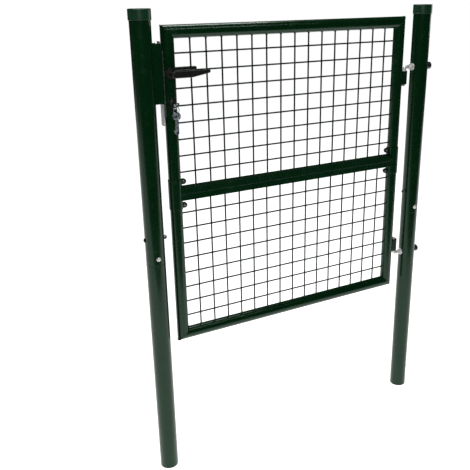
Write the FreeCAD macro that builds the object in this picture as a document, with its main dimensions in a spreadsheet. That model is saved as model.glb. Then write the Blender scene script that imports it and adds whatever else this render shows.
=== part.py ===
# Garden gate: two steel tube posts and a welded mesh leaf hung between them on hook hinges,
# with a lever lock, its keeper and its keys. Millimetres, degrees.
# Origin: the hinge post's foot centre. +X from the latch post to the hinge post, -Y the front, +Z up.
import FreeCAD, Part
import Sketcher
import math
import os

os.makedirs("parts", exist_ok=True)
doc = FreeCAD.newDocument("garden_gate")
V = FreeCAD.Vector
R = FreeCAD.Rotation

# ---------------------------------------------------------------- sizes

sheet = doc.addObject("Spreadsheet::Sheet", "sizes")
rows = [
    # posts
    ("post_span", 1002), ("post_radius", 30), ("post_wall", 2), ("post_overtop", 53.5),
    ("seam_rise", 265), ("seam_gap", 0.6), ("spigot_reach", 115), ("latch_post_gain", 8),
    ("cap_wall", 2), ("cap_skirt", 30), ("cap_top", 2), ("cap_edge", 2.5),
    ("low_bolt_rise", 23), ("high_bolt_rise", 80), ("post_bolt_radius", 4), ("post_head_radius", 7.5),
    ("post_head_height", 5), ("post_nut_width", 13), ("post_nut_height", 7), ("bolt_spare", 2),
    # leaf
    ("hinge_room", 48.5), ("keeper_room", 26.5), ("leaf_foot", 483), ("leaf_rise", 949.5),
    ("tube_radius", 19), ("tube_wall", 1.5), ("bar_inset", 3), ("bar_height", 19), ("bar_wall", 1.5),
    ("bar_gap", 0.5),
    # mesh
    ("wire_radius", 2.5), ("mesh_pitch", 50), ("weld_bite", 0.5), ("upright_shift", 2.7),
    ("upper_mesh_drop", 59.5), ("lower_mesh_drop", 63.75), ("lower_mesh_shift", -3.3),
    # clamps
    ("clamp_wall", 2), ("clamp_height", 93), ("clamp_split", 1), ("ear_rise", 37.5), ("ear_stand", 6.2),
    ("ear_radius", 8.5), ("ear_thick", 3), ("clamp_bolt_radius", 3), ("clamp_head_radius", 5),
    ("clamp_head_height", 3), ("clamp_nut_width", 10), ("clamp_nut_height", 5),
    # hinges
    ("pin_radius", 6), ("pin_play", 0.1), ("bush_radius", 12), ("bush_height", 45),
    ("upper_bush_drop", 185.5), ("lower_bush_rise", 141), ("hook_bend", 11), ("pin_spare", 6),
    ("washer_radius", 11), ("washer_thick", 1.5), ("web_width", 9), ("web_inset", 3), ("hook_thread_out", 5),
    ("hook_nut_width", 19), ("hook_nut_height", 8), ("flange_radius", 12), ("flange_thick", 2),
    ("cup_radius", 12.5), ("cup_height", 17), ("cup_crown", 4), ("cup_wall", 1),
    # lock
    ("spindle_drop", 113.5), ("spindle_side", 8), ("keyhole_drop", 88), ("case_thick", 16),
    ("case_wall", 1.5), ("case_inset", 4), ("case_above", 62), ("case_below", 122),
    ("plate_proud", 8), ("plate_thick", 3), ("plate_width", 20), ("plate_above", 89), ("plate_below", 148.4),
    ("plate_screw_margin", 9), ("plate_screw_radius", 3.6), ("plate_head_height", 1.6),
    ("latch_rise", 25), ("latch_tall", 22), ("latch_out", 12), ("latch_thick", 12), ("latch_bury", 6),
    ("tail_tall", 9), ("lug_wide", 3), ("lug_tall", 5.6), ("lug_lean", -0.7), ("bevel_land", 1),
    ("dead_rise", 29), ("dead_tall", 20), ("dead_thick", 10), ("dead_throw", 14), ("dead_bury", 8),
    ("talon_wide", 3), ("bolt_play", 0.4),
    ("hub_radius", 8), ("arm_width", 5), ("arm_reach", 21), ("arm_lean", 20),
    ("rose_inset", 2), ("rose_proud", 8), ("neck_radius", 9), ("lever_stand", 31), ("lever_thick", 12),
    ("lever_root", 10), ("lever_tip", 5.5), ("lever_reach", 101), ("lever_tip_rise", 4.3),
    ("lever_belly", 9.8), ("lever_belly_reach", 50), ("lever_belly_drop", 0.6),
    ("lever_edge", 3), ("lever_floor", 1.5), ("lever_slack", 0.5),
    ("plate_oval_wide", 20), ("plate_oval_tall", 42), ("oval_proud", 3), ("keyhole_radius", 4.2),
    ("keyhole_slot", 2.4), ("keyhole_tall", 9),
    # keeper
    ("keeper_above", 84), ("keeper_below", 84), ("keeper_width", 30), ("keeper_sheet", 3),
    ("keeper_front_lap", 5), ("keeper_back_gap", 3.5), ("keeper_screw_margin", 7),
    ("keeper_screw_radius", 3), ("keeper_screw_length", 12), ("keeper_head_radius", 5),
    ("keeper_head_height", 2.5),
    # keys
    ("shank_radius", 3), ("bow_outer", 11.5), ("bow_hole", 7), ("bow_thick", 2.4), ("bow_stand", 26),
    ("bow_turn", 45), ("bit_reach", 8), ("bit_tall", 9), ("bit_thick", 2.4), ("bit_step", 3),
    ("ring_radius", 12), ("ring_wire", 1.1), ("ring_angle", 30), ("ring_lift", 1.1),
    ("spare_shank", 43), ("spare_shank_radius", 3), ("spare_spread", 7),
    # fits
    ("slide_fit", 0.1), ("bolt_fit", 0.2), ("slot_fit", 0.5), ("thread_fit", 0.02), ("spill", 2),
]
for index, (alias, value) in enumerate(rows, start=1):
    sheet.set("A%d" % index, alias)
    sheet.set("B%d" % index, str(value))
    sheet.setAlias("B%d" % index, alias)

derived = [
    ("cap_radius", "post_radius + cap_wall"),
    ("hinge_stile_offset", "post_radius + tube_radius + hinge_room"),
    ("latch_stile_offset", "post_radius + tube_radius + keeper_room"),
    ("leaf_width", "post_span - hinge_stile_offset - latch_stile_offset"),
    ("latch_post_x", "-post_span"),
    ("hinge_stile_x", "-hinge_stile_offset"),
    ("latch_stile_x", "latch_stile_offset - post_span"),
    ("top_rail_z", "leaf_foot + leaf_rise"),
    ("mid_z", "leaf_foot + leaf_rise / 2"),
    ("post_height", "top_rail_z + post_overtop"),
    ("post_seam", "leaf_foot + seam_rise"),
    ("upper_bush_height", "top_rail_z - upper_bush_drop"),
    ("lower_bush_height", "leaf_foot + lower_bush_rise"),
    ("spindle_height", "top_rail_z - spindle_drop"),
    ("hinge_offset", "tube_radius + bush_radius"),
    ("hinge_x", "hinge_offset - hinge_stile_offset"),
    ("bore_radius", "pin_radius + pin_play"),
    ("ear_reach", "tube_radius + clamp_wall + ear_stand"),
    ("case_back", "tube_radius - case_inset"),
    ("bar_depth", "2 * tube_radius - bar_inset"),
    ("rose_radius", "tube_radius - rose_inset"),
    ("lever_plane", "tube_radius + lever_stand"),
    ("face_x", "latch_stile_x - tube_radius - plate_proud"),
    ("keyhole_z", "spindle_height - keyhole_drop"),
    ("latch_z", "spindle_height + latch_rise"),
    ("dead_z", "keyhole_z + dead_rise"),
    ("bow_y", "-tube_radius - bow_stand"),
    ("post_face_x", "latch_post_x + post_radius"),
]
for index, (alias, formula) in enumerate(derived, start=len(rows) + 1):
    sheet.set("A%d" % index, alias)
    sheet.set("B%d" % index, "=" + formula)
    sheet.setAlias("B%d" % index, alias)
doc.recompute()

SIZE_NAMES = sorted([row[0] for row in rows] + [row[0] for row in derived], key=len, reverse=True)


def size(alias):
    return float(getattr(sheet, alias))


def linked(formula):
    # "post_radius + 1" becomes "sizes.post_radius + 1", which a property can be bound to.
    words = []
    word = ""
    for letter in formula + " ":
        if letter.isalnum() or letter in "_.":
            word += letter
            continue
        words.append("sizes." + word if word in SIZE_NAMES else word)
        words.append(letter)
        word = ""
    return "".join(words).strip()


# ---------------------------------------------------------------- building blocks

EAST = R(V(0, 1, 0), 90)       # local Z along +X
BACK = R(V(1, 0, 0), -90)      # local Z along +Y
UP = R()
EDGE_REACH = 0.01             # how near an edge lies to the plane it is looked for in
parts = []


def bind(item, **formulas):
    for name, formula in formulas.items():
        item.setExpression(name.replace("__", "."), linked(formula))
    return item


def place(item, x, y, z, turn=UP):
    item.Placement = FreeCAD.Placement(V(0, 0, 0), turn)
    return bind(item, Placement__Base__x=x, Placement__Base__y=y, Placement__Base__z=z)


def rod(name, radius, length, x, y, z, turn=UP):
    item = doc.addObject("Part::Cylinder", name)
    bind(item, Radius=radius, Height=length)
    return place(item, x, y, z, turn)


def block(name, x, y, z, wide, deep, tall):
    # A box given by its middle.
    item = doc.addObject("Part::Box", name)
    bind(item, Length=wide, Width=deep, Height=tall)
    return place(item, "%s - (%s) / 2" % (x, wide), "%s - (%s) / 2" % (y, deep), "%s - (%s) / 2" % (z, tall))


def hexagon(name, width, length, x, y, z, turn=UP):
    # A six-sided nut blank, width across its flats.
    item = doc.addObject("Part::Prism", name)
    item.Polygon = 6
    bind(item, Circumradius="(%s) / 2 / cos(30 deg)" % width, Height=length)
    return place(item, x, y, z, turn)


def dome(name, radius, height, x, y, z, turn):
    # A rounded bolt head or cap: the part of a ball above its flat side.
    ball = "((%s) * (%s) + (%s) * (%s)) / 2 / (%s)" % (radius, radius, height, height, height)
    item = doc.addObject("Part::Sphere", name)
    bind(item, Radius=ball, Angle1="asin((%s - (%s)) / (%s))" % (ball, height, ball))
    item.Angle2 = 90
    item.Placement = FreeCAD.Placement(V(0, 0, 0), turn)
    way = turn.multVec(V(0, 0, 1))
    back = "((%s) - (%s))" % (ball, height)
    return bind(item,
                Placement__Base__x="%s - %d * %s" % (x, round(way.x), back),
                Placement__Base__y="%s - %d * %s" % (y, round(way.y), back),
                Placement__Base__z="%s - %d * %s" % (z, round(way.z), back))


def joined(name, items):
    item = doc.addObject("Part::MultiFuse", name)
    item.Shapes = items
    item.Refine = True
    return item


def less(name, base, tool):
    item = doc.addObject("Part::Cut", name)
    item.Base = base
    item.Tool = tool
    return item


def shared(name, one, other):
    item = doc.addObject("Part::Common", name)
    item.Base = one
    item.Tool = other
    return item


def apart(name, items):
    # Separate solids that share one node.
    item = doc.addObject("Part::Compound", name)
    item.Links = items
    return item


def node(item, label):
    item.Label = label
    parts.append(item)
    return item


def tube(name, radius, wall, length, x, y, z, turn=UP):
    outer = rod(name + "_outer", radius, length, x, y, z, turn)
    way = turn.multVec(V(0, 0, 1))
    inner = rod(name + "_inner", "%s - (%s)" % (radius, wall), "%s + 2 * spill" % length,
                "%s - %d * spill" % (x, round(way.x)), "%s - %d * spill" % (y, round(way.y)),
                "%s - %d * spill" % (z, round(way.z)), turn)
    return less(name, outer, inner)


def sketch_on(body, plane, name):
    sketch = body.newObject("Sketcher::SketchObject", name)
    origin = [f for f in body.Origin.OriginFeatures if f.Role == plane][0]
    sketch.AttachmentSupport = [(origin, "")]
    sketch.MapMode = "FlatFace"
    return sketch


def hold(sketch, constraint, formula):
    # Adds a size constraint and ties it to the sheet.
    index = sketch.addConstraint(constraint)
    sketch.setExpression("Constraints[%d]" % index, linked(formula))


# ---------------------------------------------------------------- posts

def arm_height(level):
    # How high a hook's arm passes through the hinge post: above the upper bush, below the lower one.
    way = "+" if level == "upper" else "-"
    reach = "(bush_height / 2 + washer_thick + 2 * slide_fit + hook_bend)"
    return "(%s_bush_height %s %s)" % (level, way, reach)


def keeper_screw_heights():
    return (("upper", "(spindle_height + keeper_above - keeper_screw_margin)"),
            ("lower", "(spindle_height - keeper_below + keeper_screw_margin)"))


def post(side, x, top):
    # A lower and an upper tube joined by a spigot inside them, with every hole that passes through them.
    low, high = "(post_seam + low_bolt_rise)", "(post_seam + high_bolt_rise)"
    start = "post_seam + seam_gap"
    lower = tube(side + "_lower_blank", "post_radius", "post_wall", "post_seam", x, "0", "0")
    upper = tube(side + "_upper_blank", "post_radius", "post_wall", "%s - (%s)" % (top, start), x, "0", start)
    spigot = tube(side + "_spigot_blank", "post_radius - post_wall - slide_fit", "post_wall", "2 * spigot_reach",
                  x, "0", "post_seam - spigot_reach")
    reach = "2 * post_radius + 2 * spill"
    west = "%s - post_radius - spill" % x
    bolt_hole = "post_bolt_radius + bolt_fit"
    drills = joined(side + "_drills", [
        rod(side + "_low_hole", bolt_hole, reach, x, "-post_radius - spill", low, BACK),
        rod(side + "_high_hole", bolt_hole, reach, west, "0", high, EAST)])
    tools = [drills]
    if side == "hinge_post":
        for level in ("upper", "lower"):
            tools.append(rod("%s_%s_arm_hole" % (side, level), "pin_radius + bolt_fit", reach, west, "0",
                             arm_height(level), EAST))
    else:
        for level, height in keeper_screw_heights():
            tools.append(rod("%s_%s_screw_hole" % (side, level), "keeper_screw_radius + bolt_fit",
                             "post_radius + spill", x, "0", height, EAST))
    holes = joined(side + "_tools", tools)
    node(less(side + "_lower_body", lower, holes), side + "_lower")
    node(less(side + "_upper_body", upper, holes), side + "_upper")
    node(less(side + "_spigot_body", spigot, drills), side + "_spigot")


def cap(side, x, top):
    # A pressed cap with a flat top and a softened rim, pushed over the post.
    body = doc.addObject("PartDesign::Body", side + "_cap_body")
    outline = sketch_on(body, "XY_Plane", side + "_cap_outline")
    outline.addGeometry(Part.Circle(V(0, 0, 0), V(0, 0, 1), size("cap_radius")), False)
    hold(outline, Sketcher.Constraint("Radius", 0, size("cap_radius")), "cap_radius")
    outline.addConstraint(Sketcher.Constraint("Coincident", 0, 3, -1, 1))
    blank = body.newObject("PartDesign::Pad", side + "_cap_blank")
    blank.Profile = outline
    bind(blank, Length="cap_skirt")
    mouth = sketch_on(body, "XY_Plane", side + "_cap_mouth")
    mouth.addGeometry(Part.Circle(V(0, 0, 0), V(0, 0, 1), size("post_radius")), False)
    hold(mouth, Sketcher.Constraint("Radius", 0, size("post_radius")), "post_radius + slide_fit")
    mouth.addConstraint(Sketcher.Constraint("Coincident", 0, 3, -1, 1))
    hollow = body.newObject("PartDesign::Pocket", side + "_cap_hollow")
    hollow.Profile = mouth
    hollow.Reversed = True
    bind(hollow, Length="cap_skirt - cap_top")
    doc.recompute()
    rim = [n + 1 for n, edge in enumerate(hollow.Shape.Edges)
           if abs(edge.CenterOfMass.z - size("cap_skirt")) < EDGE_REACH]
    soft = body.newObject("PartDesign::Fillet", side + "_cap_rim")
    soft.Base = (hollow, ["Edge%d" % n for n in rim])
    bind(soft, Radius="cap_edge")
    body.Tip = soft
    place(body, x, "0", "%s + cap_top - cap_skirt" % top)
    node(body, side + "_cap")


def bolt_and_nut(name, post_x, out, height):
    # A bolt right through the post at `post_x`, with its head on the side that `out` points to.
    inward = R(V(0, 0, 1), out * -1)
    head_at = ("%s + %d * post_radius" % (post_x, round(out.x)), "%d * post_radius" % round(out.y), height)
    nut_at = ("%s - %d * post_radius" % (post_x, round(out.x)), "%d * post_radius" % -round(out.y), height)
    length = "2 * post_radius + post_nut_height + bolt_spare"
    stem = rod(name + "_stem", "post_bolt_radius", length, *head_at, inward)
    head = dome(name + "_head", "post_head_radius", "post_head_height", *head_at, R(V(0, 0, 1), out))
    blank = hexagon(name + "_blank", "post_nut_width", "post_nut_height", *nut_at, inward)
    bore = rod(name + "_bore", "post_bolt_radius + thread_fit", "post_nut_height + post_wall", *nut_at, inward)
    return joined(name + "_bolt", [stem, head]), less(name + "_nut", blank, bore)


def post_fasteners():
    front, nubs, nuts = [], [], []
    for side, x, outward in (("latch", "latch_post_x", V(-1, 0, 0)), ("hinge", "0", V(1, 0, 0))):
        bolt, nut = bolt_and_nut(side + "_low", x, V(0, -1, 0), "post_seam + low_bolt_rise")
        front.append(bolt)
        nuts.append(nut)
        bolt, nut = bolt_and_nut(side + "_high", x, outward, "post_seam + high_bolt_rise")
        nubs.append(bolt)
        nuts.append(nut)
    node(apart("front_bolt_set", front), "post_front_bolts")
    node(apart("side_bolt_set", nubs), "post_side_bolts")
    node(apart("post_nut_set", nuts), "post_nuts")


# ---------------------------------------------------------------- leaf frame

def mitred_rail(name, z, outward):
    # A round rail whose ends are cut at 45 degrees to meet the stiles.
    pipe = tube(name + "_pipe", "tube_radius", "tube_wall", "leaf_width + 2 * tube_radius",
                "latch_stile_x - tube_radius", "0", z, EAST)
    keep = doc.addObject("Part::Wedge", name + "_mitre")
    bind(keep, Xmin="-leaf_width / 2 + tube_radius", Xmax="leaf_width / 2 - tube_radius",
         X2min="-leaf_width / 2 - tube_radius", X2max="leaf_width / 2 + tube_radius",
         Ymin="-tube_radius", Ymax="tube_radius", Zmin="-tube_radius - spill", Zmax="tube_radius + spill",
         Z2min="-tube_radius - spill", Z2max="tube_radius + spill")
    turn = R(V(1, 0, 0), 90 * outward)
    place(keep, "latch_stile_x + leaf_width / 2", "0", z, turn)
    return node(shared(name + "_body", pipe, keep), name)


def half_stile(name, x, east, upper):
    # Half a stile: mitred where it meets the rail, square where it meets the other half.
    start = "mid_z" if upper else "leaf_foot - tube_radius"
    pipe = tube(name + "_pipe", "tube_radius", "tube_wall", "leaf_rise / 2 + tube_radius", x, "0", start)
    keep = doc.addObject("Part::Wedge", name + "_mitre")
    bind(keep, Xmin="0", Xmax="leaf_rise / 2 - tube_radius", X2min="0", X2max="leaf_rise / 2 + tube_radius",
         Ymin="-tube_radius", Ymax="tube_radius", Zmin="-tube_radius - spill", Zmax="tube_radius + spill",
         Z2min="-tube_radius - spill", Z2max="tube_radius + spill")
    along = V(0, 0, 1 if upper else -1)
    outward = V(1 if east else -1, 0, 0)
    place(keep, x, "0", "mid_z", R(along, outward, along.cross(outward), "XYZ"))
    return shared(name + "_half", pipe, keep)


def crossbar(name, z):
    middle = "latch_stile_x + leaf_width / 2"
    solid = block(name + "_solid", middle, "0", z, "leaf_width", "bar_depth", "bar_height")
    void = block(name + "_void", middle, "0", z, "leaf_width + spill",
                 "bar_depth - 2 * bar_wall", "bar_height - 2 * bar_wall")
    foot = "%s - bar_height / 2 - spill" % z
    ends = joined(name + "_ends", [
        rod(name + "_%s_end" % side, "tube_radius", "bar_height + 2 * spill", x, "0", foot)
        for side, x in (("latch", "latch_stile_x"), ("hinge", "hinge_stile_x"))])
    return node(less(name + "_body", less(name + "_hollow", solid, void), ends), name)


def mesh(name, first_x, top_z, across, drop, foot_z, head_z):
    # Uprights in front, crosswires behind, welded where they cross.
    shift = "(wire_radius - weld_bite / 2)"
    wires = []
    for n in range(across):
        x = "%s + %d * mesh_pitch" % (first_x, n)
        wires.append(rod("%s_upright_%d" % (name, n), "wire_radius", "(%s) - (%s)" % (head_z, foot_z),
                         x, "-" + shift, foot_z))
    for n in range(drop):
        z = "%s - %d * mesh_pitch" % (top_z, n)
        wires.append(rod("%s_crosswire_%d" % (name, n), "wire_radius", "leaf_width", "latch_stile_x", shift, z,
                         EAST))
    grid = joined(name + "_grid", wires)
    rail_z = head_z if name == "upper_mesh" else foot_z
    frame = joined(name + "_frame", [
        rod(name + "_latch_edge", "tube_radius", "leaf_rise + 2 * tube_radius", "latch_stile_x", "0",
            "leaf_foot - tube_radius"),
        rod(name + "_hinge_edge", "tube_radius", "leaf_rise + 2 * tube_radius", "hinge_stile_x", "0",
            "leaf_foot - tube_radius"),
        rod(name + "_rail_edge", "tube_radius", "leaf_width", "latch_stile_x", "0", rail_z, EAST)])
    return node(less(name + "_body", grid, frame), name)


# ---------------------------------------------------------------- clamps

def clamp(side, x, inward, back):
    name = "%s_clamp_%s" % (side, "back" if back else "front")
    face = 1 if back else -1
    shell = rod(name + "_shell", "tube_radius + slide_fit + clamp_wall", "clamp_height", x, "0",
                "mid_z - clamp_height / 2")
    ears = []
    for level, sign in (("upper", 1), ("lower", -1)):
        z = "mid_z + %d * ear_rise" % sign
        y = "%d * (clamp_split / 2 + ear_thick / 2)" % face
        start = "clamp_split / 2" if back else "-clamp_split / 2 - ear_thick"
        ears.append(block(name + "_%s_neck" % level, "%s + %d * ear_reach / 2" % (x, inward), y, z,
                          "ear_reach", "ear_thick", "2 * ear_radius"))
        ears.append(rod(name + "_%s_ear" % level, "ear_radius", "ear_thick",
                        "%s + %d * ear_reach" % (x, inward), start, z, BACK))
    blank = joined(name + "_blank", [shell] + ears)
    far = "(tube_radius + clamp_wall + ear_reach)"
    other = block(name + "_other", x, "%d * (clamp_split / 2 - %s)" % (face, far), "mid_z",
                  "4 * %s" % far, "2 * %s" % far, "clamp_height + 2 * spill")
    tools = [other,
             rod(name + "_seat", "tube_radius + slide_fit", "clamp_height + 2 * spill", x, "0",
                 "mid_z - clamp_height / 2 - spill"),
             block(name + "_notch", "%s + %d * (ear_reach / 2 + spill)" % (x, inward), "0", "mid_z", "ear_reach",
                   "bar_depth + 2 * slot_fit", "2 * bar_height + bar_gap + 2 * slot_fit")]
    for level, sign in (("upper", 1), ("lower", -1)):
        tools.append(rod(name + "_%s_hole" % level, "clamp_bolt_radius + bolt_fit", "2 * tube_radius",
                         "%s + %d * ear_reach" % (x, inward), "-tube_radius", "mid_z + %d * ear_rise" % sign,
                         BACK))
    node(less(name + "_body", blank, joined(name + "_tools", tools)), name)


def clamp_fasteners():
    bolts = []
    nuts = []
    grip = "(clamp_split / 2 + ear_thick)"
    for side, x, inward in (("latch", "latch_stile_x", 1), ("hinge", "hinge_stile_x", -1)):
        for level, sign in (("upper", 1), ("lower", -1)):
            name = "%s_%s" % (side, level)
            bx = "%s + %d * ear_reach" % (x, inward)
            bz = "mid_z + %d * ear_rise" % sign
            stem = rod(name + "_clamp_stem", "clamp_bolt_radius", "2 * %s + clamp_nut_height + bolt_spare" % grip,
                       bx, "-" + grip, bz, BACK)
            head = dome(name + "_clamp_head", "clamp_head_radius", "clamp_head_height", bx, "-" + grip, bz,
                        R(V(1, 0, 0), 90))
            bolts.append(joined(name + "_clamp_bolt", [stem, head]))
            blank = hexagon(name + "_clamp_blank", "clamp_nut_width", "clamp_nut_height", bx, grip, bz, BACK)
            bore = rod(name + "_clamp_bore", "clamp_bolt_radius + thread_fit", "clamp_nut_height + ear_thick",
                       bx, grip, bz, BACK)
            nuts.append(less(name + "_clamp_nut", blank, bore))
    node(apart("clamp_bolt_set", bolts), "clamp_bolts")
    node(apart("clamp_nut_set", nuts), "clamp_nuts")


# ---------------------------------------------------------------- hinges

def bush(name, z):
    shell = rod(name + "_shell", "bush_radius", "bush_height", "hinge_x", "0", "%s - bush_height / 2" % z)
    web = block(name + "_web", "(hinge_x + hinge_stile_x) / 2", "0", z, "hinge_offset", "web_width",
                "bush_height - 2 * web_inset")
    tools = joined(name + "_tools", [
        rod(name + "_bore", "bore_radius", "bush_height + 2 * spill", "hinge_x", "0",
            "%s - bush_height / 2 - spill" % z),
        rod(name + "_stile", "tube_radius", "bush_height", "hinge_stile_x", "0", "%s - bush_height / 2" % z)])
    node(less(name + "_body", joined(name + "_blank", [shell, web]), tools), name)


def hook(level, z, way):
    # way is 1 when the pin points down from the arm and -1 when it points up.
    name = level + "_hook_bolt"
    seat = "(%s + %d * (bush_height / 2 + washer_thick + 2 * slide_fit))" % (z, way)
    arm_z = arm_height(level)
    pin_length = "(bush_height + washer_thick + 2 * slide_fit + pin_spare)"
    arm_length = "(post_radius + hook_thread_out + hook_nut_height - hinge_x - hook_bend)"
    foot = seat if way < 0 else "%s - %s" % (seat, pin_length)
    pin = rod(name + "_pin", "pin_radius", pin_length, "hinge_x", "0", foot)
    arm = rod(name + "_arm", "pin_radius", arm_length, "hinge_x + hook_bend", "0", arm_z, EAST)
    bend = doc.addObject("Part::Torus", name + "_bend")
    bind(bend, Radius1="hook_bend", Radius2="pin_radius")
    bend.Angle3 = 90
    outward = V(-1, 0, 0)
    along = V(0, 0, way)
    place(bend, "hinge_x + hook_bend", "0", seat, R(outward, along, outward.cross(along), "XYZ"))
    node(joined(name + "_body", [pin, bend, arm]), name)
    washer_z = "%s + %d * (bush_height / 2 + washer_thick / 2 + slide_fit) - washer_thick / 2" % (z, way)
    washer = tube(level + "_washer_body", "washer_radius", "washer_radius - pin_radius - slide_fit",
                  "washer_thick", "hinge_x", "0", washer_z)
    nuts = []
    for side, out in (("inner", -1), ("outer", 1)):
        turn = R(V(0, 1, 0), 90 * out)
        start = "%d * post_radius" % out
        blank = hexagon("%s_%s_nut_blank" % (level, side), "hook_nut_width", "flange_thick + hook_nut_height",
                        start, "0", arm_z, turn)
        collar = rod("%s_%s_nut_collar" % (level, side), "flange_radius", "flange_thick", start, "0", arm_z,
                     turn)
        bore = rod("%s_%s_nut_bore" % (level, side), "pin_radius + thread_fit",
                   "hook_nut_height + flange_thick + spill", start, "0", arm_z, turn)
        solid = joined("%s_%s_nut_solid" % (level, side), [blank, collar]) if side == "inner" else blank
        nuts.append(less("%s_%s_nut" % (level, side), solid, bore))
    outer_cup = [rod(level + "_cup_skirt", "cup_radius", "cup_height", "post_radius", "0", arm_z, EAST),
                 dome(level + "_cup_dome", "cup_radius", "cup_crown", "post_radius + cup_height", "0", arm_z,
                      EAST)]
    hollow = rod(level + "_cup_hollow", "cup_radius - cup_wall", "cup_height - cup_wall", "post_radius", "0",
                 arm_z, EAST)
    cup = less(level + "_cup", joined(level + "_cup_blank", outer_cup), hollow)
    return washer, nuts, cup


def hinges():
    washers = []
    nuts = []
    cups = []
    for level, z, way in (("upper", "upper_bush_height", 1), ("lower", "lower_bush_height", -1)):
        bush(level + "_hinge_bush", z)
        washer, pair, cup = hook(level, z, way)
        washers.append(washer)
        nuts.extend(pair)
        cups.append(cup)
    node(apart("hinge_washer_set", washers), "hinge_washers")
    node(apart("hook_nut_set", nuts), "hook_nuts")
    node(apart("hook_cap_set", cups), "hook_nut_caps")


# ---------------------------------------------------------------- lock

def lock_case():
    case_mid_z = "spindle_height + (case_above - case_below) / 2"
    tall = "(case_above + case_below)"
    deep = "(plate_proud + tube_radius - plate_thick + case_back)"
    mid_x = "(face_x + plate_thick + %s / 2)" % deep
    shell = block("case_shell", mid_x, "0", case_mid_z, deep, "case_thick", tall)
    hollow = block("case_hollow", mid_x, "0", case_mid_z, deep + " - 2 * case_wall",
                   "case_thick - 2 * case_wall", tall + " - 2 * case_wall")
    openings = [
        hollow,
        rod("case_spindle_hole", "hub_radius - slot_fit", "case_thick", "latch_stile_x", "-case_thick / 2",
            "spindle_height", BACK),
        rod("case_key_hole", "shank_radius + slot_fit", "case_thick", "latch_stile_x", "-case_thick / 2",
            "keyhole_z", BACK),
        block("case_latch_hole", "face_x + plate_thick", "0", "latch_z", "4 * case_wall",
              "latch_thick + 2 * bolt_play", "latch_tall + 2 * bolt_play"),
        block("case_dead_hole", "face_x + plate_thick", "0", "dead_z", "4 * case_wall",
              "dead_thick + 2 * bolt_play", "dead_tall + 2 * bolt_play")]
    node(less("lock_case_body", shell, joined("case_openings", openings)), "lock_case")
    return case_mid_z, tall


def plate_screw_heights():
    return (("upper", "spindle_height + plate_above - plate_screw_margin"),
            ("lower", "spindle_height - plate_below + plate_screw_margin"))


def faceplate():
    tall = "(plate_above + plate_below)"
    mid_z = "spindle_height + (plate_above - plate_below) / 2"
    blank = block("faceplate_blank", "face_x + plate_thick / 2", "0", mid_z, "plate_thick", "plate_width", tall)
    windows = [
        block("plate_latch_window", "face_x + plate_thick / 2", "0", "latch_z", "plate_thick + spill",
              "latch_thick + 2 * bolt_play", "latch_tall + 2 * bolt_play"),
        block("plate_dead_window", "face_x + plate_thick / 2", "0", "dead_z", "plate_thick + spill",
              "dead_thick + 2 * bolt_play", "dead_tall + 2 * bolt_play")]
    screws = []
    for level, z in plate_screw_heights():
        windows.append(rod("plate_%s_screw_hole" % level, "plate_screw_radius / 2 + bolt_fit", "plate_thick",
                           "face_x", "0", z, EAST))
        stem = rod("plate_%s_screw_stem" % level, "plate_screw_radius / 2", "plate_proud + 2 * plate_thick",
                   "face_x", "0", z, EAST)
        head = dome("plate_%s_screw_head" % level, "plate_screw_radius", "plate_head_height", "face_x", "0", z,
                    R(V(0, 1, 0), -90))
        screws.append(joined("plate_%s_screw" % level, [stem, head]))
    node(less("faceplate_body", blank, joined("faceplate_windows", windows)), "lock_faceplate")
    node(apart("faceplate_screw_set", screws), "faceplate_screws")


def latch_and_dead_bolt():
    # The latch's head runs in the faceplate. Its tail reaches over the follower's arm, with a lug behind it.
    head_back = "face_x + plate_thick + case_wall + latch_bury"
    head_length = "(latch_out + plate_thick + case_wall + latch_bury)"
    head = block("latch_head", "%s - %s / 2" % (head_back, head_length), "0", "latch_z", head_length,
                 "latch_thick", "latch_tall")
    tail_end = "(latch_stile_x + lug_lean + lug_wide / 2)"
    tail_start = "(%s - spill)" % head_back
    tail = block("latch_tail", "(%s + %s) / 2" % (tail_start, tail_end), "0",
                 "spindle_height + arm_reach + spill + tail_tall / 2", "%s - %s" % (tail_end, tail_start),
                 "arm_width", "tail_tall")
    lug = block("latch_lug", "latch_stile_x + lug_lean", "0",
                "spindle_height + arm_reach + spill - lug_tall / 2 + slide_fit", "lug_wide", "arm_width",
                "lug_tall")
    solid = joined("latch_blank", [head, tail, lug])
    # The head's back corner is bevelled so that the bolt rides over the keeper when the leaf closes.
    bevel = doc.addObject("Part::Wedge", "latch_bevel")
    bind(bevel, Xmin="0", Xmax="latch_thick", X2min="0", X2max="thread_fit", Ymin="0", Ymax="latch_out",
         Zmin="-latch_tall / 2 - spill", Zmax="latch_tall / 2 + spill", Z2min="-latch_tall / 2 - spill",
         Z2max="latch_tall / 2 + spill")
    along = V(0, -1, 0)
    inward = V(1, 0, 0)
    place(bevel, "face_x - latch_out - bevel_land", "latch_thick / 2 + bevel_land", "latch_z",
          R(along, inward, along.cross(inward), "XYZ"))
    node(less("latch_bolt_body", solid, bevel), "latch_bolt")
    dead_length = "(plate_thick + case_wall + dead_throw + dead_bury)"
    bolt = block("dead_head", "face_x + %s / 2" % dead_length, "0", "dead_z", dead_length, "dead_thick",
                 "dead_tall")
    talon = block("dead_talon", "face_x + %s - talon_wide" % dead_length, "0",
                  "dead_z - dead_tall / 2 - talon_wide", "talon_wide", "arm_width", "2 * talon_wide + spill")
    node(joined("dead_bolt_body", [bolt, talon]), "dead_bolt")


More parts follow.
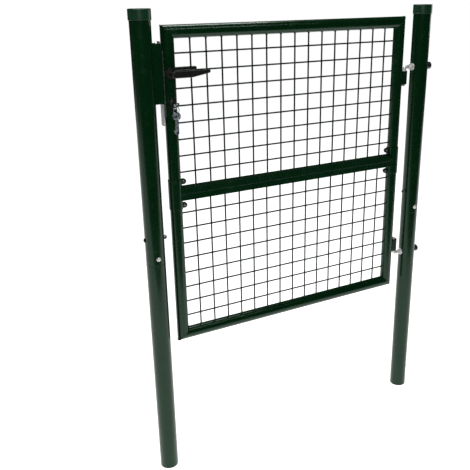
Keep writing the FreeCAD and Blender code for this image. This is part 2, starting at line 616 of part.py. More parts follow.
def follower():
    hub = rod("hub_blank", "hub_radius", "case_thick - 2 * case_wall - 2 * slot_fit", "latch_stile_x",
              "-case_thick / 2 + case_wall + slot_fit", "spindle_height", BACK)
    arm = doc.addObject("Part::Box", "hub_arm")
    bind(arm, Length="arm_width", Width="arm_width", Height="arm_reach")
    arm.Placement = FreeCAD.Placement(V(0, 0, 0), R(V(0, 1, 0), -size("arm_lean")))
    bind(arm, Placement__Base__x="latch_stile_x - arm_width / 2 * cos(arm_lean * 1 deg)",
         Placement__Base__y="-arm_width / 2",
         Placement__Base__z="spindle_height - arm_width / 2 * sin(arm_lean * 1 deg)")
    socket = block("hub_socket", "latch_stile_x", "0", "spindle_height", "spindle_side + slide_fit",
                   "case_thick", "spindle_side + slide_fit")
    node(less("follower_body", joined("follower_blank", [hub, arm]), socket), "lock_follower")
    node(block("spindle_body", "latch_stile_x", "0", "spindle_height", "spindle_side",
               "2 * (lever_plane - lever_thick / 2 - lever_floor - lever_slack)", "spindle_side"), "spindle")


def lever(face):
    # A bar with a straight top and a belly below that thins towards the tip, on a neck that reaches out
    # from the rose. Its outline runs round three circles: the root, the belly and the tip.
    name = "lever_back" if face > 0 else "lever_front"
    body = doc.addObject("PartDesign::Body", name + "_body")
    outline = sketch_on(body, "XZ_Plane", name + "_outline")
    middles = (V(0, 0, 0), V(size("lever_belly_reach"), -size("lever_belly_drop"), 0),
               V(size("lever_reach"), size("lever_tip_rise"), 0))
    radii = (size("lever_root"), size("lever_belly"), size("lever_tip"))
    z_axis = V(0, 0, 1)

    def lean(first, second, way):
        # The angle at which the line that touches two of the circles on one side leaves them.
        gap = middles[second] - middles[first]
        return math.atan2(gap.y, gap.x) + way * math.acos((radii[first] - radii[second]) / gap.Length)

    def rim(which, angle):
        return middles[which] + V(radii[which] * math.cos(angle), radii[which] * math.sin(angle), 0)

    def arc(which, start, end):
        return Part.ArcOfCircle(Part.Circle(middles[which], z_axis, radii[which]), start, end)

    high, under, taper = lean(0, 2, 1), lean(0, 1, -1), lean(1, 2, -1)
    outline.addGeometry([
        arc(0, high, under + 2 * math.pi), Part.LineSegment(rim(0, under), rim(1, under)),
        arc(1, under, taper), Part.LineSegment(rim(1, taper), rim(2, taper)),
        arc(2, taper, high), Part.LineSegment(rim(2, high), rim(0, high))], False)
    outline.addConstraint([Sketcher.Constraint("Tangent", n, 2, (n + 1) % 6, 1) for n in range(6)])
    outline.addConstraint(Sketcher.Constraint("Coincident", 0, 3, -1, 1))
    for edge, radius in ((0, "lever_root"), (2, "lever_belly"), (4, "lever_tip")):
        hold(outline, Sketcher.Constraint("Radius", edge, size(radius)), radius)
    hold(outline, Sketcher.Constraint("DistanceX", -1, 1, 2, 3, middles[1].x), "lever_belly_reach")
    hold(outline, Sketcher.Constraint("DistanceY", 2, 3, -1, 1, -middles[1].y), "lever_belly_drop")
    hold(outline, Sketcher.Constraint("DistanceX", -1, 1, 4, 3, middles[2].x), "lever_reach")
    hold(outline, Sketcher.Constraint("DistanceY", -1, 1, 4, 3, middles[2].y), "lever_tip_rise")
    bar = body.newObject("PartDesign::Pad", name + "_bar")
    bar.Profile = outline
    bar.Midplane = True
    bind(bar, Length="lever_thick")
    doc.recompute()
    edges = [n + 1 for n, edge in enumerate(bar.Shape.Edges)
             if abs(edge.Vertexes[0].Point.y - edge.Vertexes[-1].Point.y) < EDGE_REACH]
    soft = body.newObject("PartDesign::Fillet", name + "_soft")
    soft.Base = (bar, ["Edge%d" % n for n in edges])
    bind(soft, Radius="lever_edge")
    body.Tip = soft
    place(body, "latch_stile_x", "%d * lever_plane" % face, "spindle_height")
    length = "(lever_plane - tube_radius - rose_proud - slot_fit)"
    start = "lever_plane - %s" % length if face > 0 else "-lever_plane"
    neck = rod(name + "_neck", "neck_radius", length, "latch_stile_x", start, "spindle_height", BACK)
    socket = block(name + "_socket", "latch_stile_x", "0", "spindle_height", "spindle_side + slide_fit",
                   "2 * (lever_plane - lever_thick / 2 - lever_floor)", "spindle_side + slide_fit")
    node(less(name + "_piece", joined(name + "_blank", [body, neck]), socket), name)


def furniture(face):
    # The round rose under a lever, and the oval plate round its keyhole, both saddled on the stile.
    side = "back" if face > 0 else "front"
    rose = rod(side + "_rose_disc", "rose_radius", "rose_proud + tube_radius",
               "latch_stile_x", "0" if face > 0 else "-rose_proud - tube_radius", "spindle_height", BACK)
    hole = rod(side + "_rose_hole", "spindle_side * 0.75", "60", "latch_stile_x", "0" if face > 0 else "-60",
               "spindle_height", BACK)
    saddle = rod(side + "_rose_saddle", "tube_radius", "60", "latch_stile_x", "0", "spindle_height - 30")
    node(less(side + "_rose_body", rose, joined(side + "_rose_tools", [hole, saddle])), side + "_rose")
    wide = "plate_oval_wide / 2"
    straight = "(plate_oval_tall - plate_oval_wide)"
    start = "0" if face > 0 else "-oval_proud - tube_radius"
    blanks = [block(side + "_plate_mid", "latch_stile_x", "%d * (oval_proud + tube_radius) / 2" % face,
                    "keyhole_z", "plate_oval_wide", "oval_proud + tube_radius", straight)]
    for level, sign in (("upper", 1), ("lower", -1)):
        blanks.append(rod("%s_plate_%s" % (side, level), wide, "oval_proud + tube_radius", "latch_stile_x",
                          start, "keyhole_z + %d * %s / 2" % (sign, straight), BACK))
    tools = [rod(side + "_plate_saddle", "tube_radius", "80", "latch_stile_x", "0", "keyhole_z - 40"),
             rod(side + "_plate_hole", "keyhole_radius", "60", "latch_stile_x", "0" if face > 0 else "-60",
                 "keyhole_z", BACK),
             block(side + "_plate_slot", "latch_stile_x", "%d * 30" % face, "keyhole_z - keyhole_tall / 2",
                   "keyhole_slot", "60", "keyhole_tall")]
    node(less(side + "_plate_body", joined(side + "_plate_blank", blanks), joined(side + "_plate_tools", tools)),
         side + "_keyhole_plate")


def keeper():
    # A channel screwed to the latch post. Its front flange laps over the faceplate and stops the leaf, and its
    # back flange ends short of the faceplate so that the leaf can swing out.
    tall = "(keeper_above + keeper_below)"
    mid_z = "(spindle_height + (keeper_above - keeper_below) / 2)"
    pieces = [block("keeper_web", "post_face_x + keeper_sheet / 2", "0", mid_z, "keeper_sheet", "keeper_width",
                    tall)]
    root = "(latch_post_x + post_radius / 2)"
    for side, sign, edge in (("front", -1, "(face_x + keeper_front_lap)"),
                             ("back", 1, "(face_x - keeper_back_gap)")):
        pieces.append(block("keeper_%s_flange" % side, "(%s + %s) / 2" % (edge, root),
                            "%d * (keeper_width - keeper_sheet) / 2" % sign, mid_z, "%s - %s" % (edge, root),
                            "keeper_sheet", tall))
    tools = [rod("keeper_post", "post_radius", tall + " + 2 * spill", "latch_post_x", "0",
                 "%s - %s / 2 - spill" % (mid_z, tall))]
    screws = []
    for level, height in keeper_screw_heights():
        tools.append(rod("keeper_%s_hole" % level, "keeper_screw_radius + bolt_fit",
                         "post_radius + keeper_sheet", "latch_post_x", "0", height, EAST))
        stem = rod("keeper_%s_stem" % level, "keeper_screw_radius", "keeper_screw_length",
                   "post_face_x + keeper_sheet - keeper_screw_length", "0", height, EAST)
        head = dome("keeper_%s_head" % level, "keeper_head_radius", "keeper_head_height",
                    "post_face_x + keeper_sheet", "0", height, EAST)
        screws.append(joined("keeper_%s_screw" % level, [stem, head]))
    node(less("keeper_body", joined("keeper_blank", pieces), joined("keeper_tools", tools)), "keeper")
    node(apart("keeper_screw_set", screws), "keeper_screws")


# ---------------------------------------------------------------- keys

def bow(name, turn, x, y, z):
    # The ring at a key's end, standing on its edge about its own middle.
    outer = rod(name + "_outer", "bow_outer", "bow_thick", "0", "0", "-bow_thick / 2")
    inner = rod(name + "_inner", "bow_hole", "bow_thick + 2 * spill", "0", "0", "-bow_thick / 2 - spill")
    return place(less(name, outer, inner), x, y, z, turn)


def fitted_key():
    # The key in the front keyhole: a round shank along Y, a ring bow outside, a bit inside the case.
    ring = bow("key_bow", R(V(0, 1, 0), size("bow_turn")).multiply(EAST), "latch_stile_x", "bow_y", "keyhole_z")
    start = "(bow_y + (bow_hole + bow_outer) / 2)"
    shank = rod("key_shank", "shank_radius", "bit_tall / 2 - %s" % start, "latch_stile_x", start, "keyhole_z",
                BACK)
    bit = block("key_bit", "latch_stile_x", "0", "keyhole_z - bit_reach / 2", "bit_thick", "bit_tall",
                "bit_reach")
    return node(joined("key_body", [ring, shank, bit]), "key")


def spare_key(n, offset):
    # A key hanging by its bow from the lowest point of the ring.
    name = "spare_key_%d" % n
    neck = "-(bow_hole + bow_outer) / 2"
    shank = rod(name + "_shank", "spare_shank_radius", "spare_shank", "0", "0", neck + " - spare_shank")
    bit = block(name + "_bit", "-bit_reach / 2", "0",
                "%s - spare_shank + bit_tall / 2 + %d * bit_step" % (neck, max(-offset, 0)),
                "bit_reach", "bit_thick", "bit_tall")
    whole = joined(name + "_blank", [bow(name + "_bow", BACK, "0", "0", "0"), shank, bit])
    piece = apart(name + "_hung", [whole])
    turn = R(V(0, 0, 1), size("ring_angle") - 90)
    x = "latch_stile_x + %d * spare_spread / 2 * cos(ring_angle * 1 deg)" % offset
    y = "bow_y + %d * spare_spread / 2 * sin(ring_angle * 1 deg)" % offset
    place(piece, x, y, "keyhole_z - 2 * ring_radius - bow_hole + ring_wire + ring_lift", turn)
    return node(piece, name)


def key_ring():
    ring = doc.addObject("Part::Torus", "key_ring_body")
    bind(ring, Radius1="ring_radius", Radius2="ring_wire")
    turn = R(V(0, 0, 1), size("ring_angle")).multiply(R(V(1, 0, 0), 90))
    place(ring, "latch_stile_x", "bow_y", "keyhole_z - ring_radius", turn)
    return node(ring, "key_ring")


# ---------------------------------------------------------------- assembly

for side, x, top in (("latch_post", "latch_post_x", "post_height + latch_post_gain"),
                     ("hinge_post", "0", "post_height")):
    post(side, x, top)
    cap(side, x, top)
post_fasteners()
keeper()
hinges()

mitred_rail("top_rail", "top_rail_z", 1)
mitred_rail("bottom_rail", "leaf_foot", -1)
crossbar("upper_crossbar", "mid_z + bar_gap / 2 + bar_height / 2")
crossbar("lower_crossbar", "mid_z - bar_gap / 2 - bar_height / 2")

case_z, case_tall = lock_case()
lock_slot = block("lock_slot", "latch_stile_x - tube_radius / 2", "0", case_z, "tube_radius + spill",
                  "case_thick + 2 * bolt_play", case_tall + " + 2 * bolt_play")
spindle_way = rod("spindle_way", "neck_radius", "2 * tube_radius", "latch_stile_x", "-tube_radius",
                  "spindle_height", BACK)
key_way = rod("key_way", "keyhole_radius + slot_fit", "2 * tube_radius", "latch_stile_x", "-tube_radius",
              "keyhole_z", BACK)
screw_ways = [rod("screw_way_%s" % level, "plate_screw_radius / 2 + bolt_fit", "tube_radius",
                  "latch_stile_x - tube_radius", "0", height, EAST) for level, height in plate_screw_heights()]
lock_room = joined("lock_room", [lock_slot, spindle_way, key_way] + screw_ways)
node(less("latch_stile_upper_body", half_stile("latch_stile_upper", "latch_stile_x", False, True), lock_room),
     "latch_stile_upper")
node(half_stile("latch_stile_lower", "latch_stile_x", False, False), "latch_stile_lower")
node(half_stile("hinge_stile_upper", "hinge_stile_x", True, True), "hinge_stile_upper")
node(half_stile("hinge_stile_lower", "hinge_stile_x", True, False), "hinge_stile_lower")

clear_width = size("leaf_width") - 2 * size("tube_radius")
half_height = size("leaf_rise") / 2 - size("tube_radius")
across = int(clear_width / size("mesh_pitch"))
first_upright = "latch_stile_x + (leaf_width - %d * mesh_pitch) / 2 + upright_shift" % (across - 1)
for name, start, drop, foot, head in (
        ("upper_mesh", first_upright, "upper_mesh_drop", "mid_z + bar_gap / 2 + bar_height", "top_rail_z"),
        ("lower_mesh", first_upright + " + lower_mesh_shift", "lower_mesh_drop", "leaf_foot",
         "mid_z - bar_gap / 2 - bar_height")):
    top = "top_rail_z" if name == "upper_mesh" else "mid_z"
    down = int((half_height - size(drop)) / size("mesh_pitch")) + 1
    mesh(name, start, "%s - %s" % (top, drop), across, down, foot, head)

for side, x, inward in (("latch", "latch_stile_x", 1), ("hinge", "hinge_stile_x", -1)):
    clamp(side, x, inward, False)
    clamp(side, x, inward, True)
clamp_fasteners()

faceplate()
latch_and_dead_bolt()
follower()
for face in (-1, 1):
    lever(face)
    furniture(face)
fitted_key()
key_ring()
spare_key(1, -1)
spare_key(2, 1)

doc.recompute()

# ---------------------------------------------------------------- checks and export

problems = [item.Name for item in doc.Objects if "Invalid" in item.State or "Error" in item.State]
for item in parts:
    if item.Shape.isNull() or not item.Shape.isValid() or item.Shape.Volume <= 0:
        problems.append(item.Label)
if problems:
    raise SystemExit("not built: " + ", ".join(problems))

for item in parts:
    item.Shape.exportStep(os.path.join("parts", item.Label + ".step"))
    print("%-24s %2d solids %12.1f mm3" % (item.Label, len(item.Shape.Solids), item.Shape.Volume))
print(len(parts), "nodes")
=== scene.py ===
# Garden gate: materials, small worked pieces, studio and camera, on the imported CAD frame. Metres.
import math

import bpy
from mathutils import Matrix, Vector


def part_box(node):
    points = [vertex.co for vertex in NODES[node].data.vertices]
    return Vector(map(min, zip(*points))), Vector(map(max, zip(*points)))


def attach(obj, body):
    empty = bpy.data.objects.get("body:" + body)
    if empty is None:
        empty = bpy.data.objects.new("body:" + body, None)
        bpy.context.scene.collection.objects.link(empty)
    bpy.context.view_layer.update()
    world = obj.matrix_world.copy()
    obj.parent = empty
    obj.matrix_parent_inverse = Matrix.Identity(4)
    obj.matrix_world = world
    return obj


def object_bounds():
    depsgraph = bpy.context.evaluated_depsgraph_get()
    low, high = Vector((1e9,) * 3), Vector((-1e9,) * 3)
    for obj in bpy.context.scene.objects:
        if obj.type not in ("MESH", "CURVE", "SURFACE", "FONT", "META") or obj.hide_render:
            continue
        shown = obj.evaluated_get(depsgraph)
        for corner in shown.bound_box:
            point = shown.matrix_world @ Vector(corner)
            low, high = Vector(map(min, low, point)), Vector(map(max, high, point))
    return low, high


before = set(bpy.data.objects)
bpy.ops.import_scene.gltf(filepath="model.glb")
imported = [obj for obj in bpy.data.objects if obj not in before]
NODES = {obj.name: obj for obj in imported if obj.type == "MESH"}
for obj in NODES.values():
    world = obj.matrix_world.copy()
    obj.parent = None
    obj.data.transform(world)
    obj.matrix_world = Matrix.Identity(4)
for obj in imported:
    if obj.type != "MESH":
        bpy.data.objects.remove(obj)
packed_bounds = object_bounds()
bpy.ops.object.select_all(action="DESELECT")
WIRE = 0.0025  # the mesh wires' radius
STILE_RADIUS = 0.019
BEAD_PITCH = 0.0032  # from one drop of a weld to the next
CORNER_BEAD = 0.0006
HINGE_BEAD = 0.0016
HINGE_BEAD_SHORT = 0.008  # how much shorter than the bush its beads are
HINGE_BEAD_SIDE = 0.0052  # how far a bead lies from the hinge web's middle
WEB_HALF = 0.0045
LIP_RADIUS = 0.0009
COLLAR_RADIUS = 0.0104
COLLAR_THICK = 0.0014
COLLAR_OUT = 0.0018
FLOOR_LEFT, FLOOR_RIGHT, FLOOR_FRONT, FLOOR_BACK = -7.0, 6.0, -1.4, 6.5
ROOM_LIGHT = 0.014


# ---------------------------------------------------------------- shader maths

class Wire:
    """One shader socket, with arithmetic that adds the nodes it needs."""

    def __init__(self, graph, socket):
        self.graph = graph
        self.socket = socket

    def _math(self, operation, other=None, flip=False):
        first, second = (other, self) if flip else (self, other)
        return self.graph.node("ShaderNodeMath", [first] if other is None else [first, second],
                               operation=operation)["Value"]

    def __add__(self, other):
        return self._math("ADD", other)

    def __radd__(self, other):
        return self._math("ADD", other, flip=True)

    def __sub__(self, other):
        return self._math("SUBTRACT", other)

    def __rsub__(self, other):
        return self._math("SUBTRACT", other, flip=True)

    def __mul__(self, other):
        return self._math("MULTIPLY", other)

    def __rmul__(self, other):
        return self._math("MULTIPLY", other, flip=True)

    def between(self, low, high):
        """0 at low or less, 1 at high or more, smooth in between."""
        return self.graph.node("ShaderNodeMapRange", {"Value": self, "From Min": low, "From Max": high},
                               interpolation_type="SMOOTHSTEP")["Result"]


class Graph:
    """A material's node tree: one method makes every node."""

    def __init__(self, name):
        self.material = bpy.data.materials.new(name)
        self.material.use_nodes = True
        self.tree = self.material.node_tree
        self.shader = self.tree.nodes["Principled BSDF"]

    def node(self, kind, inputs=(), **settings):
        made = self.tree.nodes.new(kind)
        for key, value in settings.items():
            setattr(made, key, value)
        pairs = inputs.items() if isinstance(inputs, dict) else enumerate(inputs)
        for key, value in pairs:
            if isinstance(value, Wire):
                self.tree.links.new(value.socket, made.inputs[key])
            elif value is not None:
                made.inputs[key].default_value = value
        return {output.name: Wire(self, output) for output in made.outputs if output.enabled}

    def place(self):
        return self.node("ShaderNodeTexCoord")["Object"]

    def noise(self, scale, detail=3.0):
        inputs = {"Vector": self.place(), "Scale": scale, "Detail": detail}
        return self.node("ShaderNodeTexNoise", inputs)["Fac"]

    def mix(self, factor, first, second):
        made = self.tree.nodes.new("ShaderNodeMix")
        made.data_type = "RGBA"
        for key, value in ((0, factor), (6, first), (7, second)):
            if isinstance(value, Wire):
                self.tree.links.new(value.socket, made.inputs[key])
            else:
                made.inputs[key].default_value = value
        return Wire(self, made.outputs[2])

    def bump(self, height, distance, strength=1.0, over=None):
        return self.node("ShaderNodeBump", {"Height": height, "Distance": distance, "Strength": strength,
                                            "Normal": over})["Normal"]

    def soft_edges(self, radius):
        """A normal that rounds sharp edges, as a thick coat of paint does."""
        return self.node("ShaderNodeBevel", {"Radius": radius}, samples=6)["Normal"]

    def edge_wear(self, radius):
        """1 on outside edges, 0 on flats, from how far a rounded normal leaves the true one."""
        rounded = self.node("ShaderNodeBevel", {"Radius": radius}, samples=4)["Normal"]
        true = self.node("ShaderNodeNewGeometry")["Normal"]
        lean = self.node("ShaderNodeVectorMath", [rounded, true], operation="DOT_PRODUCT")["Value"]
        return 1.0 - lean

    def set(self, **sockets):
        for key, value in sockets.items():
            socket = self.shader.inputs[key.replace("_", " ")]
            if isinstance(value, Wire):
                self.tree.links.new(value.socket, socket)
            else:
                socket.default_value = value
        return self.material


def grey(value, tint=(1.0, 1.0, 1.0)):
    return tuple(value * part for part in tint) + (1.0,)


# ---------------------------------------------------------------- materials

def green_paint(name, deep, light, rough=0.22):
    """Gloss powder coat: fine orange peel, slow colour drift, dull handling marks and pale rubbed edges."""
    g = Graph(name)
    drift = g.noise(9.0, 4.0)
    peel = g.noise(900.0, 2.0)
    smears = g.noise(38.0, 5.0).between(0.52, 0.78)
    specks = g.noise(1400.0, 1.0).between(0.74, 0.8)
    rub = (g.edge_wear(0.0012) * g.noise(120.0, 3.0)).between(0.06, 0.3)
    colour = g.mix(drift, deep, light)
    colour = g.mix(rub * 0.4, colour, (0.03, 0.08, 0.045, 1.0))
    colour = g.mix(specks * 0.25, colour, (0.07, 0.11, 0.08, 1.0))
    return g.set(Base_Color=colour, Roughness=rough + smears * 0.16 + rub * 0.2 + specks * 0.2,
                 Specular_IOR_Level=0.3, Coat_Weight=0.08, Coat_Roughness=0.06,
                 Specular_Tint=(0.72, 1.0, 0.82, 1.0),
                 Normal=g.bump(peel, 0.00006, 0.55, g.soft_edges(0.0018)))


def zinc(name, light=0.82, dark=0.6, rough=0.32, tint=(1.0, 1.0, 0.98), metal=0.55):
    """Bright zinc plate: cloudy passivation, fine grain and worn bright edges."""
    g = Graph(name)
    clouds = g.noise(170.0, 4.0).between(0.3, 0.7)
    grain = g.noise(1800.0, 2.0)
    wear = g.edge_wear(0.0008).between(0.03, 0.25)
    colour = g.mix(clouds, grey(dark, tint), grey(light, tint))
    colour = g.mix(wear * 0.6, colour, grey(0.8, tint))
    return g.set(Base_Color=colour, Metallic=metal,
                 Roughness=rough + clouds * 0.14 - wear * 0.08 + grain * 0.06,
                 Normal=g.bump(grain, 0.00003, 0.5))


def moulded_plastic(name, deep, light, rough=0.42):
    """Moulded cap: fine leathery grain with faint scuffs."""
    g = Graph(name)
    grain = g.noise(1100.0, 3.0)
    drift = g.noise(60.0, 3.0)
    scuffs = g.noise(240.0, 4.0).between(0.6, 0.75)
    colour = g.mix(drift, deep, light)
    colour = g.mix(scuffs * 0.4, colour, (0.09, 0.11, 0.10, 1.0))
    return g.set(Base_Color=colour, Roughness=rough + scuffs * 0.18 + grain * 0.05,
                 Normal=g.bump(grain, 0.00006, 0.5))


def dark_metal(name):
    """Dark lever finish: near-black brown lacquer with soft mottling and rubbed edges."""
    g = Graph(name)
    mottle = g.noise(85.0, 4.0)
    peel = g.noise(1000.0, 2.0)
    rub = (g.edge_wear(0.0015) * g.noise(150.0, 3.0)).between(0.04, 0.25)
    colour = g.mix(mottle, (0.003, 0.0038, 0.003, 1.0), (0.008, 0.0085, 0.0062, 1.0))
    colour = g.mix(rub * 0.5, colour, (0.06, 0.052, 0.04, 1.0))
    return g.set(Base_Color=colour, Roughness=0.3 + mottle * 0.15 + rub * 0.1, Coat_Weight=0.2,
                 Normal=g.bump(peel, 0.00005, 0.5))


GREEN = green_paint("green_powder_coat", (0.0006, 0.013, 0.003, 1.0), (0.0014, 0.023, 0.006, 1.0))
# The mesh wires wear the frame's green powder coat. This copy of it is made darker as painted shade, for how
# dark the thin wires look. It is not a different paint.
WIRE_GREEN_PAINTED_SHADE = green_paint("wire_green_coat_painted_shade", (0.0006, 0.006, 0.002, 1.0), (0.0014, 0.011, 0.004, 1.0), 0.4)
ZINC = zinc("zinc_plate")
FACEPLATE = zinc("galvanised_plate", 0.66, 0.5, 0.4)
STEEL = zinc("bolt_steel", 0.2, 0.1, 0.38, metal=0.9)
NICKEL = zinc("key_nickel", 0.6, 0.16, 0.2, (0.88, 0.98, 1.06), 0.9)
CAP_GREEN = moulded_plastic("post_cap_plastic", (0.0012, 0.026, 0.008, 1.0), (0.003, 0.042, 0.015, 1.0), 0.3)
CUP_BLACK = moulded_plastic("nut_cap_plastic", (0.006, 0.010, 0.008, 1.0), (0.012, 0.018, 0.015, 1.0), 0.35)
DARK = dark_metal("dark_lever_lacquer")

BY_NODE = {
    ZINC: ("post_front_bolts", "upper_hook_bolt", "lower_hook_bolt", "hook_nuts", "hinge_washers",
           "clamp_nuts", "keeper_screws", "faceplate_screws", "latch_bolt", "dead_bolt", "lock_follower"),
    STEEL: ("post_nuts", "clamp_bolts", "spindle", "lock_case"),
    FACEPLATE: ("lock_faceplate",),
    NICKEL: ("key", "key_ring", "spare_key_1", "spare_key_2"),
    CAP_GREEN: ("latch_post_cap", "hinge_post_cap"),
    CUP_BLACK: ("hook_nut_caps",),
    DARK: ("lever_front", "lever_back", "front_rose", "back_rose", "front_keyhole_plate",
           "back_keyhole_plate"),
    WIRE_GREEN_PAINTED_SHADE: ("upper_mesh", "lower_mesh"),
}


def dress(obj, material):
    """Gives a piece or a node one material."""
    obj.data.materials.clear()
    obj.data.materials.append(material)


for obj in NODES.values():
    dress(obj, GREEN)
for material, names in BY_NODE.items():
    for name in names:
        dress(NODES[name], material)


# ---------------------------------------------------------------- welds

def bake(obj):
    """Moves a finished piece's place into its mesh."""
    obj.data.transform(obj.matrix_world)
    obj.matrix_world = Matrix.Identity(4)
    return obj


def weld_ring(centre, radius, turn, stretch):
    """A weld bead round a mitred corner: a ring with a ripple for each drop of the weld."""
    bpy.ops.object.select_all(action="DESELECT")
    bpy.ops.mesh.primitive_torus_add(major_radius=radius, minor_radius=CORNER_BEAD, major_segments=144,
                                     minor_segments=8, location=centre, rotation=turn)
    ring = bpy.context.object
    drops = round(2 * math.pi * radius * stretch / BEAD_PITCH)
    for point in ring.data.vertices:
        x, y, z = point.co
        around = math.atan2(y, x)
        middle = Vector((radius * math.cos(around), radius * math.sin(around), 0.0))
        swell = 1.0 + 0.28 * abs(math.sin(around * drops / 2)) + 0.08 * math.sin(around * 5 + radius * 900)
        point.co = middle + (point.co - middle) * swell
        point.co.x *= stretch
    bpy.ops.object.shade_smooth()
    return bake(ring)


def merged(name, pieces, body, material):
    """Joins pieces into one that rides on a body."""
    bpy.ops.object.select_all(action="DESELECT")
    for piece in pieces:
        piece.select_set(True)
    bpy.context.view_layer.objects.active = pieces[0]
    bpy.ops.object.join()
    whole = bpy.context.object
    whole.name = name
    dress(whole, material)
    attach(whole, body)


def middle_of(node):
    """The middle of a node's box at rest."""
    low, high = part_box(node)
    return [(a + b) / 2 for a, b in zip(low, high)]


def frame_welds():
    """Beads round the leaf's four mitred corners."""
    low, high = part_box("top_rail")
    tube = (high[2] - low[2]) / 2
    west, east = low[0] + tube, high[0] - tube
    top, foot = high[2] - tube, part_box("bottom_rail")[0][2] + tube
    rings = []
    for x, z, lean in ((west, top, 1), (east, top, -1), (west, foot, -1), (east, foot, 1)):
        rings.append(weld_ring((x, 0.0, z), tube, (0.0, lean * math.radians(-135), 0.0), math.sqrt(2)))
    merged("corner_weld_beads", rings, "leaf", GREEN)


def blob(centre, size):
    """A weld drop: a squashed ball, a little lopsided."""
    bpy.ops.object.select_all(action="DESELECT")
    bpy.ops.mesh.primitive_uv_sphere_add(segments=12, ring_count=8, radius=size, location=centre)
    drop = bpy.context.object
    lean = math.sin(centre[0] * 731 + centre[2] * 517)
    for point in drop.data.vertices:
        point.co.x *= 1.15 + 0.12 * lean
        point.co.z *= 1.0 - 0.15 * lean
    bpy.ops.object.shade_smooth()
    return bake(drop)


def mesh_welds(mesh_name, rail_name):
    """Drops where a mesh's wires end on the frame's tubes."""
    low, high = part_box(mesh_name)
    rail_low, rail_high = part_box(rail_name)
    tube = (rail_high[2] - rail_low[2]) / 2
    rail_z = (rail_low[2] + rail_high[2]) / 2
    upper = rail_z > (low[2] + high[2]) / 2
    west, east = rail_low[0] + tube, rail_high[0] - tube
    uprights, crosswires = wire_lines(NODES[mesh_name].data.vertices, low)
    drops = []
    inset = tube * 0.98
    bar_z = low[2] if upper else high[2]
    for x in uprights:
        drops.append(blob((x, -WIRE, rail_z - inset if upper else rail_z + inset), WIRE * 1.35))
        drops.append(blob((x, -WIRE, bar_z), WIRE * 1.25))
    for z in crosswires:
        drops.append(blob((west + inset, WIRE, z), WIRE * 1.35))
        drops.append(blob((east - inset, WIRE, z), WIRE * 1.35))
    # The weld drops take the wires' darkened coat, which carries painted shade.
    merged(mesh_name + "_weld_drops", drops, "leaf", WIRE_GREEN_PAINTED_SHADE)


def wire_lines(points, low):
    """Where a mesh's uprights stand and its crosswires lie, from the points near its foot and west end."""
    uprights = centres([p.co.x for p in points if p.co.y < -WIRE * 1.5 and p.co.z < low[2] + 4 * WIRE])
    crosswires = centres([p.co.z for p in points if p.co.y > WIRE * 1.5 and p.co.x < low[0] + 4 * WIRE])
    return uprights, crosswires


def centres(values):
    """The middle of each group of values that lie less than three wires apart."""
    groups = []
    for value in sorted(values):
        if groups and value - groups[-1][-1] < 3 * WIRE:
            groups[-1].append(value)
        else:
            groups.append([value])
    return [(group[0] + group[-1]) / 2 for group in groups]


def rippled_line(centre, length):
    """An upright weld bead that swells at each drop of the weld."""
    bpy.ops.object.select_all(action="DESELECT")
    bpy.ops.mesh.primitive_cylinder_add(vertices=10, radius=HINGE_BEAD, depth=length, location=centre)
    line = bpy.context.object
    bpy.ops.object.mode_set(mode="EDIT")
    bpy.ops.mesh.select_all(action="SELECT")
    bpy.ops.mesh.subdivide(number_cuts=23)
    bpy.ops.object.mode_set(mode="OBJECT")
    for point in line.data.vertices:
        swell = 1.0 + 0.3 * abs(math.sin(point.co.z / BEAD_PITCH * math.pi))
        point.co.x *= swell
        point.co.y *= swell
    bpy.ops.object.shade_smooth()
    return bake(line)


def hinge_welds():
    """Beads down both sides of each hinge web, where it meets the stile and the bush."""
    lines = []
    stile_x = middle_of("hinge_stile_upper")[0]
    for level in ("upper", "lower"):
        low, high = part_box(level + "_hinge_bush")
        bush_radius = (high[1] - low[1]) / 2
        bush_x = high[0] - bush_radius
        length = (high[2] - low[2]) - HINGE_BEAD_SHORT
        for x, radius, toward in ((stile_x, STILE_RADIUS, 1), (bush_x, bush_radius, -1)):
            reach = math.sqrt(radius ** 2 - WEB_HALF ** 2)
            for side in (-1, 1):
                centre = (x + toward * reach, side * HINGE_BEAD_SIDE, (low[2] + high[2]) / 2)
                lines.append(rippled_line(centre, length))
    merged("hinge_weld_beads", lines, "leaf", GREEN)


def cap_rib(node, body):
    """The moulded lip round the foot of a post cap's skirt."""
    low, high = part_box(node)
    radius = (high[0] - low[0]) / 2
    bpy.ops.object.select_all(action="DESELECT")
    centre = ((low[0] + high[0]) / 2, (low[1] + high[1]) / 2, low[2] + 0.0012)
    bpy.ops.mesh.primitive_torus_add(major_radius=radius - 0.0002, minor_radius=LIP_RADIUS, major_segments=96,
                                     minor_segments=8, location=centre)
    rib = bpy.context.object
    rib.name = node + "_lip"
    bpy.ops.object.shade_smooth()
    bake(rib)
    dress(rib, CAP_GREEN)
    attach(rib, body)


def lever_collar(node, rose):
    """The turned collar where a lever's neck leaves its rose."""
    low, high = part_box(rose)
    outward = -1 if node == "lever_front" else 1
    face = low[1] if outward < 0 else high[1]
    centre = ((low[0] + high[0]) / 2, face + outward * COLLAR_OUT, (low[2] + high[2]) / 2)
    bpy.ops.object.select_all(action="DESELECT")
    bpy.ops.mesh.primitive_torus_add(major_radius=COLLAR_RADIUS, minor_radius=COLLAR_THICK, major_segments=64,
                                     minor_segments=10, location=centre, rotation=(math.pi / 2, 0.0, 0.0))
    collar = bpy.context.object
    collar.name = node + "_collar"
    bpy.ops.object.shade_smooth()
    bake(collar)
    dress(collar, DARK)
    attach(collar, "handle")


for side in ("latch", "hinge"):
    cap_rib(side + "_post_cap", "posts")
lever_collar("lever_front", "front_rose")
lever_collar("lever_back", "back_rose")
frame_welds()
mesh_welds("upper_mesh", "top_rail")
mesh_welds("lower_mesh", "bottom_rail")
hinge_welds()


# ---------------------------------------------------------------- studio

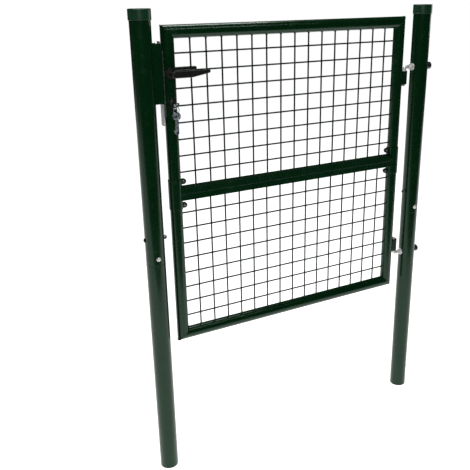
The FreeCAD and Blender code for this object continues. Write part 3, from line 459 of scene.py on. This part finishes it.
def area_lamp(name, place, target, wide, tall, power):
    """A rectangular white lamp, in metres and watts, aimed at a point."""
    data = bpy.data.lights.new(name, "AREA")
    data.shape = "RECTANGLE"
    data.size = wide
    data.size_y = tall
    data.energy = power
    lamp = bpy.data.objects.new(name, data)
    bpy.context.scene.collection.objects.link(lamp)
    lamp.location = place
    lamp.rotation_euler = (Vector(target) - Vector(place)).to_track_quat("-Z", "Y").to_euler()


def floor():
    """A pale studio floor under the gate, from just in front of it to well behind it."""
    low = packed_bounds[0]
    mesh = bpy.data.meshes.new("studio_floor")
    edge = [(FLOOR_LEFT, FLOOR_FRONT), (FLOOR_RIGHT, FLOOR_FRONT), (FLOOR_RIGHT, FLOOR_BACK),
            (FLOOR_LEFT, FLOOR_BACK)]
    mesh.from_pydata([(x, y, low[2]) for x, y in edge], [], [(0, 1, 2, 3)])
    sheet = bpy.data.objects.new("studio_floor", mesh)
    bpy.context.scene.collection.objects.link(sheet)
    g = Graph("studio_white")
    tone = g.mix(g.noise(0.6, 2.0), grey(0.90), grey(0.93))
    mesh.materials.append(g.set(Base_Color=tone, Roughness=0.85, Emission_Color=grey(1.0),
                                Emission_Strength=1.0))


def camera():
    """A standing person's eye, in front of the latch post and looking down a little at the gate."""
    data = bpy.data.cameras.new("camera")
    eye = bpy.data.objects.new("camera", data)
    bpy.context.scene.collection.objects.link(eye)
    yaw, pitch, roll = math.radians(27.59), math.radians(-18.66), math.radians(-0.81)
    ahead = Vector((math.sin(yaw) * math.cos(pitch), math.cos(yaw) * math.cos(pitch), math.sin(pitch)))
    level = Vector((math.cos(yaw), -math.sin(yaw), 0.0))
    up = level.cross(ahead)
    right = math.cos(roll) * level + math.sin(roll) * up
    top = -math.sin(roll) * level + math.cos(roll) * up
    turn = Matrix((right, top, -ahead)).transposed().to_4x4()
    eye.matrix_world = Matrix.Translation((-1.5686, -1.739, 1.5288)) @ turn
    data.sensor_width = 36.0
    data.lens = 48.71
    data.shift_x = -0.040
    data.shift_y = -0.0557
    data.clip_start = 0.05
    bpy.context.scene.camera = eye


def light():
    """White behind the gate, a dim room in front of it, and soft lamps."""
    world = bpy.data.worlds.new("studio")
    world.use_nodes = True
    nodes, links = world.node_tree.nodes, world.node_tree.links
    seen = nodes.new("ShaderNodeLightPath")
    strength = nodes.new("ShaderNodeMapRange")
    strength.inputs["To Min"].default_value = ROOM_LIGHT
    strength.inputs["To Max"].default_value = 1.0
    links.new(seen.outputs["Is Camera Ray"], strength.inputs["Value"])
    links.new(strength.outputs["Result"], nodes["Background"].inputs["Strength"])
    nodes["Background"].inputs["Color"].default_value = grey(1.0)
    bpy.context.scene.world = world
    middle = (-0.5, 0.0, 0.8)
    area_lamp("flash_lamp", (-1.75, -2.3, 2.35), middle, 0.16, 0.16, 26)
    area_lamp("strip_lamp", (-0.5, -1.7, 3.3), middle, 2.6, 0.12, 17)
    area_lamp("side_lamp", (3.4, 0.5, 2.2), middle, 0.5, 2.2, 22)
    area_lamp("top_lamp", (-0.5, 0.9, 3.6), middle, 2.4, 0.6, 55)
    bpy.context.scene.view_settings.view_transform = "Standard"


floor()
camera()
light()
